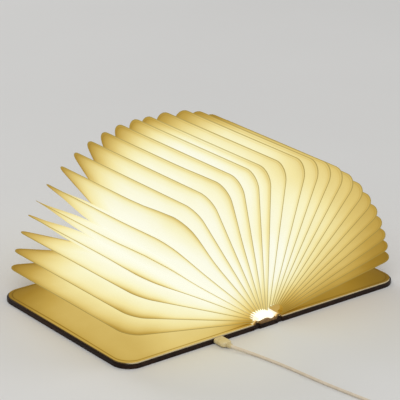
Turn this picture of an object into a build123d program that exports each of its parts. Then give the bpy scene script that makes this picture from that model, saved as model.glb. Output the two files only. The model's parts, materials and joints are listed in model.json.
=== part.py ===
"""Folding book lamp, lying open on a table: two wooden covers hinged to a narrow spine
board, a light bar on the spine, and a half-round fan of glued paper leaves between them.

Origin: on the table under the middle of the spine. X runs across the open book (front
cover at -X, back cover at +X), Y along the spine (tail edge at -Y), Z up. Millimetres.
"""
import os
from math import cos, hypot, pi, radians, sin, sqrt, tan

from build123d import *

os.makedirs("parts", exist_ok=True)

# ---- boards and hinges --------------------------------------------------------------
cover_length = 215.0        # tail edge to head edge
cover_width = 165.0         # hinge side to fore edge of one cover board
spine_width = 24.5
board_t = 5.0
cover_corner = 20.0         # radius of the fore-edge corners
hinge_corner = 2.0          # radius of the corners beside the hinges
edge_round = 0.9
fold_clearance = 0.25       # between two boards folded square to each other

# ---- hinge cloths, let into the board edges at mid thickness ------------------------
cloth_t = 0.6
cloth_fit = 0.1             # clearance to each side of its groove
cloth_in_cover = 8.0
cloth_in_spine = 4.5
cloth_end_margin = 1.0

# ---- linings and paper --------------------------------------------------------------
lining_t = 1.0
lining_margin = 1.5         # lining to the edges of its cover
# angles between neighbouring leaves, open flat: from upright out to the cover
fan_gaps = {
    -1: (1.0, 5.6, 6.8, 6.6, 6.4, 6.6, 7.0, 8.0, 6.8, 5.6, 6.4, 6.8, 6.2, 10.2),
    1: (6.3, 9.0, 6.7, 6.5, 6.6, 6.5, 6.6, 6.6, 6.1, 5.6, 5.6, 4.9, 4.6, 8.4),
}
paper_t = 0.3
fore_margin = 1.8           # leaf to the fore edge of its cover
end_margin = 2.2            # leaf to the tail and head edges of its cover
leaf_corner = 18.0
seam_width = 3.0            # flat glued rim of a leaf
valley_fore = 46.0          # depth of the fold between leaves, at the fore edge
valley_end = 44.0           # the same at tail and head, beside the corner
valley_spine = 6.0          # the same where it has run out at the spine
valley_corner = 16.0
corner_steps = 3
glue_gap = 0.12             # leaf to the glue line it shares with its neighbour
paper_to_bar = 0.8

# ---- light bar ----------------------------------------------------------------------
bar_margin = 5.5            # tray and diffuser to the tail and head edges of the boards
tray_t = 1.2
tray_lip = 2.5
tray_wall = 1.2
diffuser_radius = 8.0
diffuser_wall = 1.2
diffuser_fit = 0.15
cap_t = 2.0
cap_spigot = 2.5
spigot_fit = 0.12
led_board_width = 9.0
led_board_margin = 14.0     # LED board to the ends of the tray
led_board_t = 1.0
led_count = 18
led_size = 2.8
led_height = 0.8
screw_margin = 7.0          # screws to the ends of the tray
screw_d = 2.5
screw_head_d = 4.6
screw_fit = 0.05            # radial clearance of the screws in the boards
screw_length = 5.0
screw_slot = 0.7

# ---- battery and charging board, in the front cover ---------------------------------
pocket_floor = 1.2
pocket_fit = 0.3
battery_width = 50.0
battery_length = 92.0
battery_t = 3.0
battery_corner = 2.0
battery_from_tail = 9.5     # tail edge of the cover to the battery
battery_gap = 4.5           # battery to the charging board
battery_lead_d = 1.2
battery_lead_spacing = 1.8
charge_board_width = 24.0
charge_board_length = 20.0
charge_board_t = 1.0
socket_from_hinge = 47.75   # hinge side of the cover to the middle of the socket
socket_width = 7.5
socket_height = 2.6
socket_depth = 5.6
socket_wall = 0.25
socket_inset = 0.3          # socket mouth behind the tail edge
edge_wall = 2.4             # wood left between the pocket and the tail edge
chip_size = 4.0
chip_t = 0.8
sensor_width = 2.9
sensor_depth = 1.5
sensor_t = 1.0
sensor_leg = (0.4, 5.2, 0.2)
sensor_leg_spacing = 0.95
ribbon_width = 5.0
ribbon_t = 0.6
ribbon_from_tail = 15.5     # tail edge of the boards to the middle of the ribbon
ribbon_bend = 1.2
ribbon_rise_gap = 1.5       # its rising part to the LED board
ribbon_landing = 0.7        # its end on the LED board
ribbon_channel = 6.4
ribbon_hole = 1.8           # hole in the tray and end of the channel, along X
ribbon_start = 3.0          # its other end on the charging board

# ---- magnets ------------------------------------------------------------------------
magnet_d = 10.0
magnet_t = 2.0
magnet_fit = 0.1
magnet_edge = 14.0          # magnet centre to the fore edge
magnet_end = 47.5           # magnet centre to the tail or head edge
switch_magnet_d = 6.0

# ---- charging cable -----------------------------------------------------------------
cord_d = 3.0
plug_width = 10.6
plug_height = 6.6
plug_length = 9.5
plug_corner = 2.2
plug_gap = 0.25             # plug body to the tail edge
plug_round = 1.0
relief_length = 6.0
relief_root_d = 5.3
relief_tip_d = 3.9
plug_shell_width = 6.85
plug_shell_height = 1.8
plug_shell_length = 5.2
plug_shell_wall = 0.3
plug_shell_fit = 0.05
coil_pitch = 3.5            # between turns, and between the two layers
coil_turns_in = 3
coil_radius = 22.5          # middle line of the outermost turn
tie_width = 4.0
tie_t = 0.6
tie_gap = 0.2
usb_width = 16.0
usb_height = 7.8
usb_length = 20.0
usb_shell_width = 12.0
usb_shell_height = 4.5
usb_shell_length = 18.7
usb_shell_wall = 0.35
usb_window = 2.2
usb_window_spacing = 5.6
usb_tongue_t = 1.9
usb_tongue_side = 0.25
usb_relief_length = 9.0
usb_relief_root_d = 5.7
usb_corner = 2.6
usb_edge = 0.8

# route of the cable from the plug to the coil, chosen by hand
cord_points = [
    (-65.5, -123.25, 3.5),
    (-65.5, -131.5, 3.5),
    (-61.6, -145.0, 2.1),
    (-55.0, -165.0, 1.5),
    (-48.0, -196.0, 1.5),
    (-44.4, -232.0, 1.5),
    (-38.0, -270.0, 1.5),
    (-31.6, -303.0, 1.5),
    (-24.6, -324.0, 2.4),
    (-21.8, -339.0, 2.4),
]
# from the coil to the far plug: forward along the cable's heading, sideways, height
tail_points = [
    (3.0, 0.0, 5.9),
    (12.0, 0.0, 5.9),
    (24.0, 3.4, 4.3),
    (36.0, 5.2, 3.9),
    (46.0, 5.6, 3.9),
]

# ---- places worked out from the sizes -----------------------------------------------
hinge_gap = board_t / 2 + fold_clearance
hinge_x = spine_width / 2 + hinge_gap
hinge_z = board_t / 2
cover_inner = hinge_x + hinge_gap
cover_fore = cover_inner + cover_width
lining_top = board_t + lining_t
bar_base = board_t + tray_t
bar_outer = diffuser_radius + diffuser_fit + tray_wall
magnet_x = cover_fore - magnet_edge
socket_base = pocket_floor + charge_board_t
socket_mid = socket_base + socket_height / 2
socket_x = -(cover_inner + socket_from_hinge)
tail_y = -cover_length / 2
bar_length = cover_length - 2 * bar_margin
screw_y = bar_length / 2 - screw_margin
magnet_y = cover_length / 2 - magnet_end
battery_edge = socket_x - charge_board_width / 2 - battery_gap
battery_x = battery_edge - battery_width / 2
battery_y = tail_y + battery_from_tail + battery_length / 2
ribbon_y = tail_y + ribbon_from_tail
ribbon_rise_x = -(led_board_width / 2 + ribbon_rise_gap)

# leaves: equal places closed shut, whatever the angles between them open flat
leaves_per_side = len(fan_gaps[1]) - 1
stack_base = lining_top - hinge_z + paper_t
leaf_pitch = (hinge_x - stack_base) / (leaves_per_side + 0.5)
leaf_reach = hinge_gap + cover_width - fore_margin
leaf_half = cover_length / 2 - end_margin


def save(part, name):
    """Label one finished piece and write its own file."""
    part.label = name
    export_step(part, f"parts/{name}.step")


def board_outline(side):
    """Outline of one cover board, with its large corners at the fore edge."""
    with BuildSketch(Plane.XY) as outline:
        with Locations((side * (cover_inner + cover_width / 2), 0)):
            Rectangle(cover_width, cover_length)
        fillet(outline.vertices().sort_by(Axis.X, reverse=side > 0)[:2], cover_corner)
        fillet(outline.vertices().sort_by(Axis.X, reverse=side < 0)[:2], hinge_corner)
    return outline.sketch


def rim_edges(part):
    """Edges round the lower and the upper face of a board."""
    by_height = part.faces().sort_by(Axis.Z)
    return by_height[0].edges() + by_height[-1].edges()


def cut_groove(edge_x, inward, depth):
    """Groove for a hinge cloth, from edge_x towards inward (+1 or -1 along X)."""
    reach = depth + cloth_fit
    with Locations((edge_x + inward * reach / 2, 0, hinge_z)):
        Box(reach, cover_length, cloth_t + 2 * cloth_fit, mode=Mode.SUBTRACT)


def cut_magnets(side):
    """Blind pockets for the two cover magnets, open to the inner face."""
    with Locations(*[(side * magnet_x, y, board_t) for y in (-magnet_y, magnet_y)]):
        Cylinder(
            magnet_d / 2 + magnet_fit,
            magnet_t + magnet_fit,
            align=(Align.CENTER, Align.CENTER, Align.MAX),
            mode=Mode.SUBTRACT,
        )


# ---- cover boards -------------------------------------------------------------------
pocket_top = board_t - pocket_floor
board_pocket_y = tail_y + edge_wall
with BuildPart() as front_cover:
    extrude(board_outline(-1), amount=board_t)
    fillet(rim_edges(front_cover), edge_round)
    cut_groove(-cover_inner, -1, cloth_in_cover)
    cut_magnets(-1)
    with BuildSketch(Plane.XY.offset(pocket_floor)):
        with Locations((battery_x, battery_y)):
            RectangleRounded(
                battery_width + 2 * pocket_fit,
                battery_length + 2 * pocket_fit,
                battery_corner + pocket_fit,
            )
        with Locations((socket_x, board_pocket_y)):
            Rectangle(
                charge_board_width + 2 * pocket_fit,
                charge_board_length + 2 * pocket_fit,
                align=(Align.CENTER, Align.MIN),
            )
        # the battery leads cross here
        with Locations((socket_x, board_pocket_y + charge_board_length / 2)):
            Rectangle(
                socket_x - battery_x, 3 * battery_lead_d, align=(Align.MAX, Align.CENTER)
            )
    extrude(amount=pocket_top, mode=Mode.SUBTRACT)
    # mouth of the charging socket, through the tail edge
    with Locations((socket_x, tail_y, socket_base - pocket_fit)):
        Box(
            socket_width + 2 * pocket_fit,
            edge_wall + pocket_fit,
            board_t,
            align=(Align.CENTER, Align.MIN, Align.MIN),
            mode=Mode.SUBTRACT,
        )
    # channel for the ribbon to the light bar
    with Locations((socket_x, ribbon_y, hinge_z - ribbon_t)):
        Box(
            -socket_x,
            ribbon_channel,
            board_t,
            align=(Align.MIN, Align.CENTER, Align.MIN),
            mode=Mode.SUBTRACT,
        )
save(front_cover.part, "front_cover")

switch_magnet_x = -socket_x + charge_board_width / 4
switch_magnet_y = tail_y + edge_wall + charge_board_length / 2
with BuildPart() as back_cover:
    extrude(board_outline(1), amount=board_t)
    fillet(rim_edges(back_cover), edge_round)
    cut_groove(cover_inner, 1, cloth_in_cover)
    cut_magnets(1)
    with Locations((switch_magnet_x, switch_magnet_y, board_t)):
        Cylinder(
            switch_magnet_d / 2 + magnet_fit,
            magnet_t + magnet_fit,
            align=(Align.CENTER, Align.CENTER, Align.MAX),
            mode=Mode.SUBTRACT,
        )
save(back_cover.part, "back_cover")

# ---- spine board --------------------------------------------------------------------
with BuildPart() as spine_board:
    Box(
        spine_width,
        cover_length,
        board_t,
        align=(Align.CENTER, Align.CENTER, Align.MIN),
    )
    fillet(edges().filter_by(Axis.Y), edge_round)
    cut_groove(-spine_width / 2, 1, cloth_in_spine)
    cut_groove(spine_width / 2, -1, cloth_in_spine)
    with Locations(*[(0, y, board_t) for y in (-screw_y, screw_y)]):
        Cylinder(
            screw_d / 2 + screw_fit,
            screw_length - tray_t + screw_fit,
            align=(Align.CENTER, Align.CENTER, Align.MAX),
            mode=Mode.SUBTRACT,
        )
    with Locations((-spine_width / 2, ribbon_y, hinge_z - ribbon_t)):
        Box(
            spine_width / 2 + ribbon_rise_x + ribbon_hole / 2,
            ribbon_channel,
            board_t,
            align=(Align.MIN, Align.CENTER, Align.MIN),
            mode=Mode.SUBTRACT,
        )
save(spine_board.part, "spine_board")

# ---- hinge cloths -------------------------------------------------------------------
cloth_span = cloth_in_cover + 2 * hinge_gap + cloth_in_spine
cloth_length = cover_length - 2 * cloth_end_margin
for side, name in ((-1, "front_hinge_cloth"), (1, "back_hinge_cloth")):
    with BuildPart() as hinge_cloth:
        with BuildSketch(Plane.XY.offset(hinge_z - cloth_t / 2)):
            with Locations((side * (spine_width / 2 - cloth_in_spine + cloth_span / 2), 0)):
                Rectangle(cloth_span, cloth_length)
            if side < 0:
                with Locations((-hinge_x, ribbon_y)):
                    Rectangle(2 * cloth_span, ribbon_channel, mode=Mode.SUBTRACT)
        extrude(amount=cloth_t)
    save(hinge_cloth.part, name)

# ---- linings: stiff card under the paper, over the pockets --------------------------
for side, name in ((-1, "front_lining"), (1, "back_lining")):
    with BuildPart() as lining:
        with BuildSketch(Plane.XY.offset(board_t)) as card:
            with Locations((side * (cover_inner + cover_width / 2), 0)):
                Rectangle(cover_width - 2 * lining_margin, cover_length - 2 * lining_margin)
            by_x = card.vertices().group_by(Axis.X)
            fillet(by_x[0] if side < 0 else by_x[-1], cover_corner - lining_margin)
        extrude(amount=lining_t)
    save(lining.part, name)


# ---- paper fan ----------------------------------------------------------------------
# A leaf is two sheets glued together along a narrow rim at its outer edge. Inwards of
# the rim they part, and each is glued to the next leaf along a valley line. Leaf plane
# coordinates: x out from the hinge axis, y along the spine, z towards the next leaf.
def leaf_sections(inner_end):
    """Rim point and valley point of each section, from the tail round to the head."""
    seam_x = leaf_reach - leaf_corner
    seam_y = -leaf_half + leaf_corner
    valley_x = leaf_reach - valley_fore - valley_corner
    valley_y = -leaf_half + valley_end + valley_corner
    pairs = [((inner_end, -leaf_half), (inner_end, -leaf_half + valley_spine))]
    for step in range(corner_steps + 1):
        turn = radians(90.0 * step / corner_steps)
        seam = (seam_x + leaf_corner * sin(turn), seam_y - leaf_corner * cos(turn))
        valley = (valley_x + valley_corner * sin(turn), valley_y - valley_corner * cos(turn))
        pairs.append((seam, valley))
    mirrored = [((a[0], -a[1]), (b[0], -b[1])) for a, b in reversed(pairs)]
    return pairs + mirrored


def half_gap(x, offset, middle, half_turn):
    """Height over a leaf's plane of the plane halfway to its neighbour, at reach x."""
    return x * tan(radians(half_turn)) + abs(middle / cos(radians(half_turn)) - offset)


def leaf_plane(side, tilt, offset):
    """Plane of a leaf: tilt from upright towards its own cover, offset from the axis."""
    out = Vector(side * sin(radians(tilt)), 0, cos(radians(tilt)))
    normal = Vector(-side * cos(radians(tilt)), 0, sin(radians(tilt)))
    origin = Vector(side * hinge_x, 0, hinge_z) + normal * offset
    return Plane(origin=origin, x_dir=out, z_dir=normal)


def paper_sections(plane, inner_end, profile):
    """Sections of the paper, round the three outer sides of a leaf."""
    sections = []
    for seam, valley in leaf_sections(inner_end):
        depth = hypot(valley[0] - seam[0], valley[1] - seam[1])
        rim = plane.from_local_coords(Vector(*seam, 0))
        inward = plane.from_local_coords(Vector(*valley, 0)) - rim
        section_plane = Plane(origin=rim, x_dir=inward, z_dir=inward.cross(plane.z_dir))
        with BuildSketch(section_plane) as section:
            with BuildLine():
                Polyline(*profile(depth, valley[0]), close=True)
            make_face()
        sections.append(section.sketch)
    return sections


def inner_reach(offset):
    """Where a leaf ends over the light bar, so that it clears the bar closed shut."""
    from_middle = hinge_x - offset
    rise = sqrt(max(bar_outer**2 - from_middle**2, 0.0))
    return bar_base - hinge_z + rise + paper_to_bar


def page_leaf(side, number):
    """One leaf; number counts from the spine (1) out to the cover."""
    tilt = sum(fan_gaps[side][:number])
    offset = hinge_x - leaf_pitch * (number - 0.5)
    # the first leaf meets the middle plane of the book, the last one the endpaper
    turn_above = fan_gaps[side][number - 1] / (1 if number == 1 else 2)
    turn_below = fan_gaps[side][number] / 2
    outward = stack_base if number == leaves_per_side else offset - leaf_pitch

    def profile(depth, x):
        above = half_gap(x, offset, offset + leaf_pitch / 2, turn_above) - glue_gap
        below = half_gap(x, offset, (offset + outward) / 2, turn_below) - glue_gap
        return [
            (0, -paper_t),
            (0, paper_t),
            (seam_width, paper_t),
            (depth, above),
            (depth, above - paper_t),
            (seam_width, 0),
            (depth, paper_t - below),
            (depth, -below),
            (seam_width, -paper_t),
        ]

    with BuildPart() as leaf:
        plane = leaf_plane(side, tilt, offset)
        loft(paper_sections(plane, inner_reach(offset), profile), ruled=True)
    return leaf.part


def endpaper(side):
    """Single sheet glued to the lining, up to the valley it shares with the first leaf."""
    first_leaf = hinge_x - leaf_pitch * (leaves_per_side - 0.5)
    to_leaf = (first_leaf + stack_base) / 2
    lining_offset = lining_top - hinge_z

    def profile(depth, x):
        above = half_gap(x, lining_offset, to_leaf, fan_gaps[side][-1] / 2) - glue_gap
        return [
            (0, 0),
            (0, paper_t),
            (seam_width, paper_t),
            (depth, above),
            (depth, above - paper_t),
            (seam_width, 0),
        ]

    with BuildPart() as sheet:
        plane = leaf_plane(side, 90.0, lining_offset)
        loft(paper_sections(plane, inner_reach(0), profile), ruled=True)
    return sheet.part


# leaves are numbered across the book, from the front cover to the back cover
for number in range(1, leaves_per_side + 1):
    save(page_leaf(-1, leaves_per_side + 1 - number), f"page_leaf_{number:02d}")
for number in range(1, leaves_per_side + 1):
    save(page_leaf(1, number), f"page_leaf_{leaves_per_side + number:02d}")
save(endpaper(-1), "front_endpaper")
save(endpaper(1), "back_endpaper")

# ---- light bar ----------------------------------------------------------------------
with BuildPart() as light_tray:
    with BuildSketch(Plane.XZ.offset(-bar_length / 2)):
        with Locations((0, board_t)):
            Rectangle(2 * bar_outer, tray_t, align=(Align.CENTER, Align.MIN))
        with Locations((-bar_outer, board_t)):
            Rectangle(tray_wall, tray_t + tray_lip, align=(Align.MIN, Align.MIN))
        with Locations((bar_outer, board_t)):
            Rectangle(tray_wall, tray_t + tray_lip, align=(Align.MAX, Align.MIN))
    extrude(amount=bar_length)
    with Locations(*[(0, y, bar_base) for y in (-screw_y, screw_y)]):
        CounterSinkHole(screw_d / 2 + screw_fit, screw_head_d / 2 + screw_fit)
    with Locations((ribbon_rise_x, ribbon_y, bar_base)):
        Box(ribbon_hole, ribbon_channel, 3 * tray_t, mode=Mode.SUBTRACT)
save(light_tray.part, "light_tray")

with BuildPart() as diffuser:
    with BuildSketch(Plane.XZ.offset(-bar_length / 2)):
        with Locations((0, bar_base)):
            Circle(diffuser_radius)
            Circle(diffuser_radius - diffuser_wall, mode=Mode.SUBTRACT)
            Rectangle(
                3 * diffuser_radius,
                diffuser_radius,
                align=(Align.CENTER, Align.MAX),
                mode=Mode.SUBTRACT,
            )
    extrude(amount=bar_length)
save(diffuser.part, "diffuser")


def round_above(radius, floor):
    """Outline of a disc about the diffuser's centre, cut off flat below floor."""
    with BuildSketch(Plane.XY) as outline:
        with Locations((0, bar_base)):
            Circle(radius)
        with Locations((0, floor)):
            Rectangle(4 * radius, 4 * radius, align=(Align.CENTER, Align.MAX), mode=Mode.SUBTRACT)
    return outline.sketch


led_top = bar_base + led_board_t
spigot_radius = diffuser_radius - diffuser_wall - spigot_fit
for side, name in ((-1, "tail_end_cap"), (1, "head_end_cap")):
    face_plane = Plane.XZ.offset(-side * bar_length / 2)
    with BuildPart() as end_cap:
        extrude(face_plane * round_above(bar_outer, board_t), amount=-side * cap_t)
        spigot = round_above(spigot_radius, led_top + spigot_fit)
        extrude(face_plane * spigot, amount=side * cap_spigot)
    save(end_cap.part, name)

led_board_length = bar_length - 2 * led_board_margin
with BuildPart() as led_board:
    with Locations((0, 0, bar_base)):
        Box(
            led_board_width,
            led_board_length,
            led_board_t,
            align=(Align.CENTER, Align.CENTER, Align.MIN),
        )
save(led_board.part, "led_board")

led_spacing = led_board_length / led_count
with BuildPart(Plane.XY.offset(led_top)) as leds:
    with GridLocations(0, led_spacing, 1, led_count):
        Box(led_size, led_size, led_height, align=(Align.CENTER, Align.CENTER, Align.MIN))
save(leds.part, "leds")

with BuildPart() as tray_screws:
    head_depth = (screw_head_d - screw_d) / 2
    with BuildSketch(Plane.XZ):
        with BuildLine():
            Polyline(
                (0, bar_base),
                (screw_head_d / 2, bar_base),
                (screw_d / 2, bar_base - head_depth),
                (screw_d / 2, bar_base - screw_length + screw_d / 2),
                (0, bar_base - screw_length),
                close=True,
            )
        make_face()
    revolve(axis=Axis.Z)
    with Locations((0, 0, bar_base)):
        Box(
            screw_head_d,
            screw_slot,
            screw_slot,
            align=(Align.CENTER, Align.CENTER, Align.MAX),
            mode=Mode.SUBTRACT,
        )
screw = tray_screws.part
with BuildPart() as tray_screws:
    with Locations((0, -screw_y, 0), (0, screw_y, 0)):
        add(screw)
save(tray_screws.part, "tray_screws")

# ---- battery, charging board and ribbon ---------------------------------------------
charge_board_y = board_pocket_y + pocket_fit
with BuildPart() as battery:
    with BuildSketch(Plane.XY.offset(pocket_floor)):
        with Locations((battery_x, battery_y)):
            RectangleRounded(battery_width, battery_length, battery_corner)
    extrude(amount=battery_t)
    # two leads to the charging board
    lead_y = charge_board_y + charge_board_length / 2
    with BuildSketch(Plane.YZ.offset(battery_edge)):
        with Locations((lead_y, socket_base + battery_lead_d / 2)):
            with GridLocations(battery_lead_spacing, 0, 2, 1):
                Circle(battery_lead_d / 2)
    extrude(amount=battery_gap + battery_lead_d)
save(battery.part, "battery")

with BuildPart() as charge_board:
    with Locations((socket_x, charge_board_y, pocket_floor)):
        Box(
            charge_board_width,
            charge_board_length,
            charge_board_t,
            align=(Align.CENTER, Align.MIN, Align.MIN),
        )
    with Locations(*[
        (socket_x + dx, charge_board_y + charge_board_length - chip_size, socket_base)
        for dx in (-chip_size, chip_size / 2)
    ]):
        Box(chip_size, chip_size, chip_t, align=(Align.CENTER, Align.CENTER, Align.MIN))
save(charge_board.part, "charge_board")

with BuildPart() as hall_sensor:
    with Locations((socket_x - charge_board_width / 4, switch_magnet_y, socket_base)):
        Box(sensor_width, sensor_depth, sensor_t, align=(Align.CENTER, Align.CENTER, Align.MIN))
        with GridLocations(sensor_leg_spacing, 0, 3, 1):
            Box(*sensor_leg, align=(Align.CENTER, Align.CENTER, Align.MIN))
save(hall_sensor.part, "hall_sensor")

with BuildPart() as usb_socket:
    with BuildSketch(Plane.XZ.offset(-tail_y - socket_inset)):
        with Locations((socket_x, socket_mid)):
            RectangleRounded(socket_width, socket_height, socket_wall * 2)
    extrude(amount=-socket_depth)
    with BuildSketch(Plane.XZ.offset(-tail_y - socket_inset)):
        with Locations((socket_x, socket_mid)):
            Rectangle(plug_shell_width + 2 * plug_shell_fit, plug_shell_height + 2 * plug_shell_fit)
    extrude(amount=socket_wall - socket_depth, mode=Mode.SUBTRACT)
save(usb_socket.part, "usb_socket")

ribbon_first_x = socket_x + charge_board_width / 2 - ribbon_start
ribbon_last_x = ribbon_landing - led_board_width / 2
with BuildPart() as lead_ribbon:
    with BuildSketch(Plane.XZ.offset(-ribbon_y - ribbon_width / 2)):
        with BuildLine() as run:
            FilletPolyline(
                (ribbon_first_x, hinge_z),
                (ribbon_rise_x, hinge_z),
                (ribbon_rise_x, led_top + ribbon_t / 2),
                (ribbon_last_x, led_top + ribbon_t / 2),
                radius=ribbon_bend,
            )
        trace(line_width=ribbon_t)
    extrude(amount=ribbon_width)
save(lead_ribbon.part, "lead_ribbon")

# ---- magnets ------------------------------------------------------------------------
for side, name in ((-1, "front_magnets"), (1, "back_magnets")):
    with BuildPart(Plane.XY.offset(board_t - magnet_t)) as magnets:
        with Locations(*[(side * magnet_x, y) for y in (-magnet_y, magnet_y)]):
            Cylinder(magnet_d / 2, magnet_t, align=(Align.CENTER, Align.CENTER, Align.MIN))
    save(magnets.part, name)

with BuildPart(Plane.XY.offset(board_t - magnet_t)) as switch_magnet:
    with Locations((switch_magnet_x, switch_magnet_y)):
        Cylinder(switch_magnet_d / 2, magnet_t, align=(Align.CENTER, Align.CENTER, Align.MIN))
save(switch_magnet.part, "switch_magnet")

# ---- charging cable: small plug -----------------------------------------------------
plug_face = tail_y - plug_gap
plug_back = plug_face - plug_length
with BuildPart() as plug_body:
    with BuildSketch(Plane.XZ.offset(-plug_face)):
        with Locations((socket_x, socket_mid)):
            RectangleRounded(plug_width, plug_height, plug_corner)
    extrude(amount=plug_length)
    fillet(faces().sort_by(Axis.Y)[0].edges(), plug_round)
    # the relief tapers down to the cable
    for outward, diameter in ((0, relief_root_d), (relief_length, relief_tip_d)):
        with BuildSketch(Plane.XZ.offset(outward - plug_back)):
            with Locations((socket_x, socket_mid)):
                Circle(diameter / 2)
    loft()
save(plug_body.part, "plug_body")

with BuildPart() as plug_shell:
    with BuildSketch(Plane.XZ.offset(-plug_face)):
        with Locations((socket_x, socket_mid)):
            Rectangle(plug_shell_width, plug_shell_height)
            Rectangle(
                plug_shell_width - 2 * plug_shell_wall,
                plug_shell_height - 2 * plug_shell_wall,
                mode=Mode.SUBTRACT,
            )
    extrude(amount=-plug_shell_length)
save(plug_shell.part, "plug_shell")


# ---- charging cable: free stretches and coil ----------------------------------------
def corner_radii(points, name):
    """Largest tangent arc at each corner of a route, printed with the route's name."""
    radii = []
    for before, here, after in zip(points, points[1:], points[2:]):
        arriving = Vector(*here) - Vector(*before)
        leaving = Vector(*after) - Vector(*here)
        turn = radians(arriving.get_angle(leaving))
        radii.append(0.45 * min(arriving.length, leaving.length) / tan(turn / 2))
    print(name, "corner radii", [round(radius, 1) for radius in radii])
    return radii


def cord_tube(points, name):
    """Round cable along straight runs joined by tangent arcs; its volume is checked."""
    with BuildPart() as tube:
        with BuildLine() as route:
            FilletPolyline(*points, radius=corner_radii(points, name))
        with BuildSketch(Plane(origin=route.line @ 0, z_dir=route.line % 0)):
            Circle(cord_d / 2)
        sweep()
    length = route.wire().length
    expected = pi * cord_d**2 / 4 * length
    print(name, "length", round(length, 1), "volume ratio", round(tube.part.volume / expected, 5))
    return tube.part


def world_point(heading, start, forward, sideways, height):
    """Point given forward along a level heading from start, sideways to its right."""
    return (
        start[0] + heading.X * forward + heading.Y * sideways,
        start[1] + heading.Y * forward - heading.X * sideways,
        height,
    )


save(cord_tube(cord_points, "usb_cord"), "usb_cord")

# The coil: half turns, each a semicircle between two stops on a line square to the
# heading. Its lower layer spirals in, one half turn climbs, its upper layer spirals out.
cord_end = Vector(*cord_points[-1])
heading = (cord_end - Vector(*cord_points[-2])).normalized()
coil_start = tuple(cord_end + heading * cord_d)
low = coil_start[2]
high = low + coil_pitch
near_stops = [coil_radius - coil_pitch * turn for turn in range(coil_turns_in + 1)]
far_stops = [coil_pitch * (turn + 0.5) - coil_radius for turn in range(coil_turns_in + 1)]
stops = []
for turn in range(coil_turns_in):
    stops.append((near_stops[turn], low))
    stops.append((far_stops[turn], low))
stops.append((near_stops[coil_turns_in], low))
for turn in range(coil_turns_in, 0, -1):
    stops.append((far_stops[turn], high))
    stops.append((near_stops[turn - 1], high))


def coil_point(stop, height, forward=0.0):
    """A stop's place in space; stops count from the middle of the coil."""
    return world_point(heading, coil_start, forward, coil_radius - stop, height)


with BuildPart() as cord_coil:
    with BuildLine() as turns:
        Line(coil_point(coil_radius, low, -cord_d), coil_point(coil_radius, low))
        onward = 1
        for (here, height), (there, next_height) in zip(stops, stops[1:]):
            TangentArc(
                coil_point(here, height),
                coil_point(there, next_height),
                tangent=heading * onward,
            )
            onward = -onward
        Line(coil_point(coil_radius, high), coil_point(coil_radius, high, cord_d))
    with BuildSketch(Plane(origin=turns.line @ 0, z_dir=turns.line % 0)):
        Circle(cord_d / 2)
    sweep()
save(cord_coil.part, "cord_coil")

# the least gap of the coil to itself, on points a few degrees apart
coil_wire = turns.wire()
sample_count = 24 * len(stops)
spacing = coil_wire.length / sample_count
samples = [coil_wire.position_at(index / sample_count) for index in range(sample_count + 1)]
apart = int(pi * coil_radius / 2 / spacing)
least = min(
    (here - there).length
    for index, here in enumerate(samples)
    for there in samples[index + apart:]
)
print("cord_coil length", round(coil_wire.length, 1), "least gap", round(least - cord_d, 2))

# tie round all the turns, on the side towards the lamp
inner_turn = (near_stops[coil_turns_in] - far_stops[coil_turns_in - 1]) / 2
outer_turn = (near_stops[1] - far_stops[0]) / 2
tie_reach = tie_width / 2 + coil_pitch / 2
tie_near = sqrt(inner_turn**2 - tie_reach**2) - cord_d / 2 - tie_gap
tie_far = outer_turn + cord_d / 2 + tie_gap
tie_inside = (tie_far - tie_near, coil_pitch + cord_d + 2 * tie_gap)
tie_middle = coil_point(coil_pitch / 4, (low + high) / 2, -(tie_near + tie_far) / 2)
with BuildPart() as cord_tie:
    with BuildSketch(Plane(origin=tie_middle, x_dir=heading, z_dir=(heading.Y, -heading.X, 0))):
        RectangleRounded(tie_inside[0] + 2 * tie_t, tie_inside[1] + 2 * tie_t, cord_d / 2)
        RectangleRounded(*tie_inside, cord_d / 2 - tie_t, mode=Mode.SUBTRACT)
    extrude(amount=tie_width / 2, both=True)
save(cord_tie.part, "cord_tie")

# ---- charging cable: far plug -------------------------------------------------------
tail = [
    world_point(heading, coil_start, forward, sideways, height)
    for forward, sideways, height in tail_points
]
save(cord_tube(tail, "cord_tail"), "cord_tail")

far_end = Vector(*tail[-1])
far_heading = (far_end - Vector(*tail[-2])).normalized()


def far_plane(forward):
    """Plane square to the far plug, this far beyond the end of the cable."""
    across = (-far_heading.Y, far_heading.X, 0)
    return Plane(origin=far_end + far_heading * forward, x_dir=across, z_dir=far_heading)


with BuildPart() as far_plug_body:
    with BuildSketch(far_plane(usb_relief_length)):
        RectangleRounded(usb_width, usb_height, usb_corner)
    extrude(amount=usb_length)
    body_ends = faces().filter_by(GeomType.PLANE).sort_by(Axis(tuple(far_end), tuple(far_heading)))
    chamfer(body_ends[0].edges() + body_ends[-1].edges(), usb_edge)
    for forward, diameter in ((0, relief_tip_d), (usb_relief_length, usb_relief_root_d)):
        with BuildSketch(far_plane(forward)):
            Circle(diameter / 2)
    loft()
save(far_plug_body.part, "far_plug_body")

shell_start = usb_relief_length + usb_length
with BuildPart() as far_plug_shell:
    with BuildSketch(far_plane(shell_start)):
        Rectangle(usb_shell_width, usb_shell_height)
        Rectangle(
            usb_shell_width - 2 * usb_shell_wall,
            usb_shell_height - 2 * usb_shell_wall,
            mode=Mode.SUBTRACT,
        )
    extrude(amount=usb_shell_length)
    # latch windows, through both broad walls
    with BuildSketch(far_plane(shell_start + usb_shell_length / 2)):
        with GridLocations(usb_window_spacing, 0, 2, 1):
            Rectangle(usb_window, 2 * usb_shell_height)
    extrude(amount=usb_window / 2, both=True, mode=Mode.SUBTRACT)
save(far_plug_shell.part, "far_plug_shell")

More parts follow.
